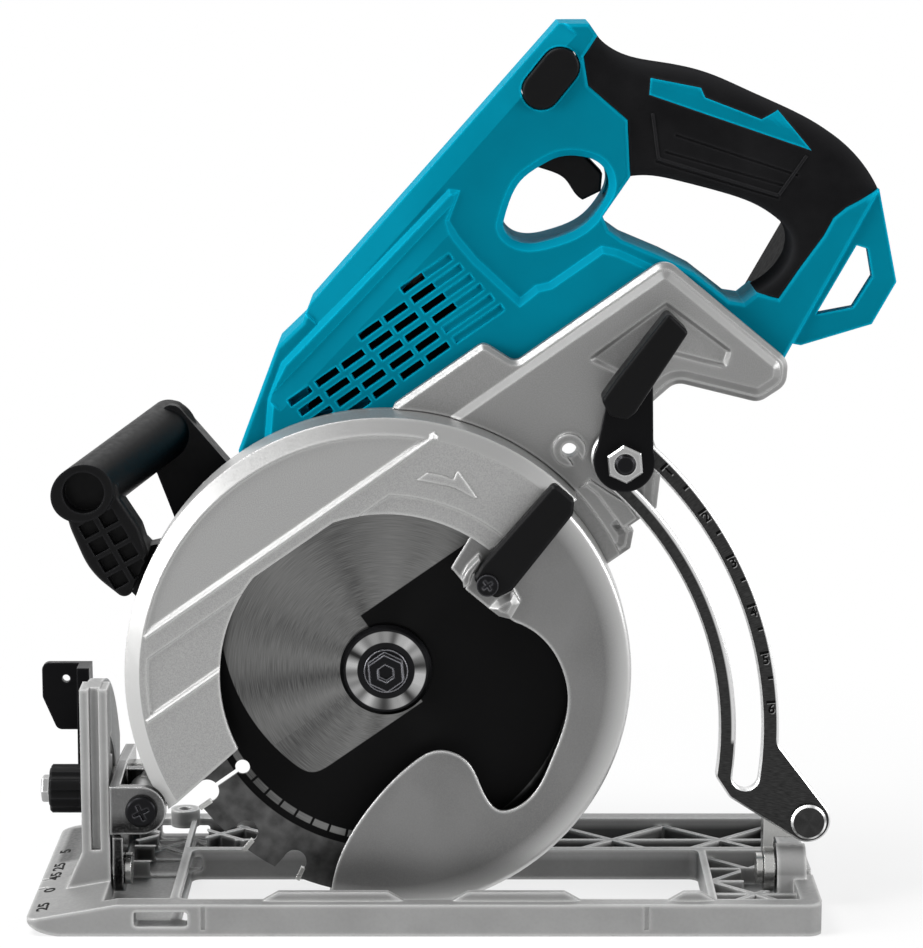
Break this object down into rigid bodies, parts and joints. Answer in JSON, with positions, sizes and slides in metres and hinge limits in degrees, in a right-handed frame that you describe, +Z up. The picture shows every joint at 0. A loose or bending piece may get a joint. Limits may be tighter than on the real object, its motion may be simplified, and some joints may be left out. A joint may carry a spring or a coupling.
{
  "type": "cordless circular saw",
  "caption": "Rear-handle cordless circular saw on a ribbed cast base, with swinging head, hinged depth guide, fixed and retracting blade guards and a rail seat for batteries.",
  "frame": {"origin": "on the sole of the base, under the spindle, in the middle plane of the blade", "axes": "+X to the rear, +Y from the blade side to the motor side, +Z up from the sole"},
  "size_m": [0.3389, 0.209, 0.345],
  "materials": {
    "base_plate": "light grey cast metal, finely matted",
    "bevel_pivot_pins": "zinc plated steel",
    "stop_knob_stud": "bright cap nut and stud",
    "bevel_stop_knob": "black moulded plastic",
    "front_bracket": "bright plated steel sheet",
    "rear_bracket": "plated steel sheet",
    "depth_pivot_bolt": "blackened steel",
    "depth_guide_pin": "turned steel",
    "bevel_lock_bolt": "zinc plated steel",
    "bevel_lever": "black coated steel",
    "depth_guide": "dark brushed steel with bright bevels",
    "gear_housing": "cast metal with silver paint",
    "upper_guard": "silver grained paint on cast metal",
    "handle_left": "teal moulded plastic",
    "handle_right": "teal moulded plastic",
    "rubber_grip": "soft black rubber",
    "front_grip": "black moulded plastic",
    "motor_housing": "teal moulded plastic",
    "motor_end_cover": "black moulded plastic",
    "bearing_plate": "cast metal",
    "stator": "stacked steel sheets",
    "stator_windings": "lacquered copper wire",
    "rotor_bearings": "ground steel",
    "spindle_bearings": "ground steel",
    "motor_controller": "potted electronics in black plastic",
    "switch_unit": "black plastic case",
    "battery_mount": "black moulded plastic",
    "battery_terminals": "terminal block with bare contacts",
    "depth_lock_bolt": "zinc plated steel",
    "handle_screws": "zinc plated steel",
    "guard_screws": "zinc plated steel",
    "cover_screws": "zinc plated steel",
    "grip_screws": "zinc plated steel",
    "depth_lever": "black coated pressed steel",
    "depth_lock_nut": "plated steel",
    "depth_lever_grip": "black soft sleeve",
    "lower_guard": "cast metal, finely matted",
    "guard_lever": "black moulded plastic",
    "guard_lever_screw": "plated steel",
    "saw_blade": "ground steel with dark print",
    "carbide_tips": "hard metal",
    "inner_flange": "blackened steel",
    "outer_flange": "blackened steel",
    "blade_bolt": "blackened steel",
    "spindle": "ground steel",
    "drive_gear": "hardened steel",
    "rotor_shaft": "ground steel",
    "rotor_core": "stacked steel sheets",
    "cooling_fan": "black plastic",
    "pinion": "hardened steel",
    "trigger": "black plastic",
    "lock_off_button": "black plastic"
  },
  "bodies": {
    "base": {"base_plate": "base_plate", "bevel_pivot_pins": "bevel_pivot_pins", "stop_knob_stud": "stop_knob_stud"},
    "stop_knob": {"bevel_stop_knob": "bevel_stop_knob"},
    "tilt_frame": {"front_bracket": "front_bracket", "rear_bracket": "rear_bracket", "depth_pivot_bolt": "depth_pivot_bolt", "depth_guide_pin": "depth_guide_pin", "bevel_lock_bolt": "bevel_lock_bolt"},
    "bevel_lever": {"bevel_lever": "bevel_lever"},
    "depth_guide": {"depth_guide": "depth_guide"},
    "head": {"gear_housing": "gear_housing", "upper_guard": "upper_guard", "handle_left": "handle_left", "handle_right": "handle_right", "rubber_grip": "rubber_grip", "front_grip": "front_grip", "motor_housing": "motor_housing", "motor_end_cover": "motor_end_cover", "bearing_plate": "bearing_plate", "stator": "stator", "stator_windings": "stator_windings", "rotor_bearings": "rotor_bearings", "spindle_bearings": "spindle_bearings", "motor_controller": "motor_controller", "switch_unit": "switch_unit", "battery_mount": "battery_mount", "battery_terminals": "battery_terminals", "depth_lock_bolt": "depth_lock_bolt", "handle_screws": "handle_screws", "guard_screws": "guard_screws", "cover_screws": "cover_screws", "grip_screws": "grip_screws"},
    "depth_lever": {"depth_lever": "depth_lever", "depth_lock_nut": "depth_lock_nut", "depth_lever_grip": "depth_lever_grip"},
    "lower_guard": {"lower_guard": "lower_guard", "guard_lever": "guard_lever", "guard_lever_screw": "guard_lever_screw"},
    "blade": {"saw_blade": "saw_blade", "carbide_tips": "carbide_tips", "inner_flange": "inner_flange", "outer_flange": "outer_flange", "blade_bolt": "blade_bolt", "spindle": "spindle", "drive_gear": "drive_gear"},
    "rotor": {"rotor_shaft": "rotor_shaft", "rotor_core": "rotor_core", "cooling_fan": "cooling_fan", "pinion": "pinion"},
    "trigger": {"trigger": "trigger"},
    "lock_off_button": {"lock_off_button": "lock_off_button"}
  },
  "joints": [
    {"name": "bevel_tilt", "type": "hinge", "parent": "base", "child": "tilt_frame", "pos_m": [0, 0.003, 0.014], "axis": [1, 0, 0], "range_deg": [0, 53]},
    {"name": "stop_knob_turn", "type": "hinge", "parent": "base", "child": "stop_knob", "pos_m": [-0.127, 0.009, 0.045], "axis": [1, 0, 0], "range_deg": [0, 90]},
    {"name": "bevel_lever_turn", "type": "hinge", "parent": "tilt_frame", "child": "bevel_lever", "pos_m": [-0.123, 0.04554, 0.04027], "axis": [-1, 0, 0], "range_deg": [0, 60]},
    {"name": "depth_pivot", "type": "hinge", "parent": "tilt_frame", "child": "head", "pos_m": [-0.0952, 0, 0.0422], "axis": [0, 1, 0], "range_deg": [0, 33.5]},
    {"name": "guide_swing", "type": "hinge", "parent": "tilt_frame", "child": "depth_guide", "pos_m": [0.1656, 0, 0.0351], "axis": [0, -1, 0], "range_deg": [0, 12.06]},
    {"name": "depth_lever_turn", "type": "hinge", "parent": "head", "child": "depth_lever", "pos_m": [0.09204, -0.005, 0.17884], "axis": [0, 1, 0], "range_deg": [0, 50]},
    {"name": "lower_guard_retract", "type": "hinge", "parent": "head", "child": "lower_guard", "pos_m": [0, 0, 0.0959], "axis": [0, -1, 0], "range_deg": [0, 105], "stiffness_Nm_per_rad": 0.1, "springref_deg": -68.75},
    {"name": "blade_spin", "type": "hinge", "parent": "head", "child": "blade", "pos_m": [0, 0, 0.0959], "axis": [0, 1, 0], "continuous": true},
    {"name": "rotor_spin", "type": "hinge", "parent": "head", "child": "rotor", "pos_m": [-0.00604, 0.06, 0.12314], "axis": [0, 1, 0], "continuous": true},
    {"name": "trigger_pull", "type": "hinge", "parent": "head", "child": "trigger", "pos_m": [0.0549, 0.036, 0.29121], "axis": [0, -1, 0], "range_deg": [0, 11], "stiffness_Nm_per_rad": 0.6, "springref_deg": -5.73},
    {"name": "lock_off_press", "type": "slide", "parent": "head", "child": "lock_off_button", "axis": [0, 1, 0], "range_m": [0, 0.003], "stiffness_N_per_m": 900, "springref_m": -0.002}
  ],
  "couplings": [
    {"joint": "guide_swing", "follows": "depth_pivot", "ratio": 0.36},
    {"joint": "rotor_spin", "follows": "blade_spin", "ratio": -4.1667}
  ]
}
